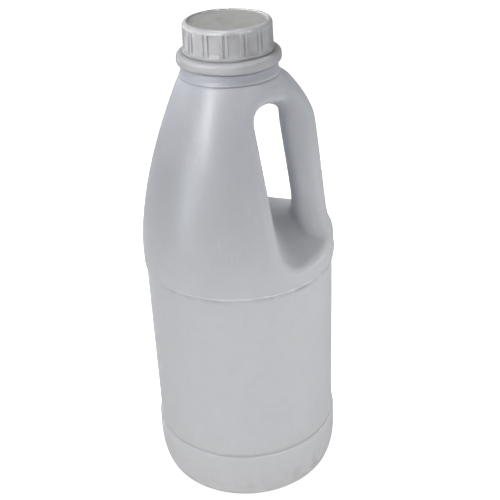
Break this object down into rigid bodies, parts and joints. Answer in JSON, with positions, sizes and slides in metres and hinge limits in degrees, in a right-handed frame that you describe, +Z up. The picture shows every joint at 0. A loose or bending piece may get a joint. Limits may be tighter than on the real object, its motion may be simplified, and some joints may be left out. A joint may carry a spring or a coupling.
{
  "type": "calf feeding bottle",
  "caption": "Tall translucent blow-moulded milk bottle with a moulded-in hollow side handle, a captive ring round its neck and a ribbed white screw cap over a sealing liner.",
  "frame": {"origin": "centre of the bottle's base, on the plane it stands on", "axes": "+Z up along the bottle's axis, +X from the axis towards the handle, +Y completes the right-handed frame; the XZ plane is the mirror plane of the bottle"},
  "size_m": [0.1166, 0.1166, 0.2929],
  "materials": {
    "bottle": "translucent natural polyethylene, fine blow-moulded grain, scuffed",
    "neck_ring": "white polyethylene, softly polished",
    "cap_liner": "white closed-cell foam",
    "screw_cap": "white polypropylene with light dirt on its top"
  },
  "bodies": {
    "bottle": {"bottle": "bottle"},
    "ring": {"neck_ring": "neck_ring"},
    "liner": {"cap_liner": "cap_liner"},
    "cap": {"screw_cap": "screw_cap"}
  },
  "joints": [
    {"name": "cap_rise", "type": "slide", "parent": "bottle", "child": "liner", "axis": [0, 0, 1], "range_m": [0, 0.016]},
    {"name": "cap_turn", "type": "hinge", "parent": "liner", "child": "cap", "pos_m": [0, 0, 0.284], "axis": [0, 0, 1], "range_deg": [0, 1440]},
    {"name": "ring_spin", "type": "hinge", "parent": "bottle", "child": "ring", "pos_m": [0, 0, 0.273], "axis": [0, 0, 1], "continuous": true}
  ],
  "couplings": [
    {"joint": "cap_rise", "follows": "cap_turn", "m_per_rad": 0.00063662}
  ]
}
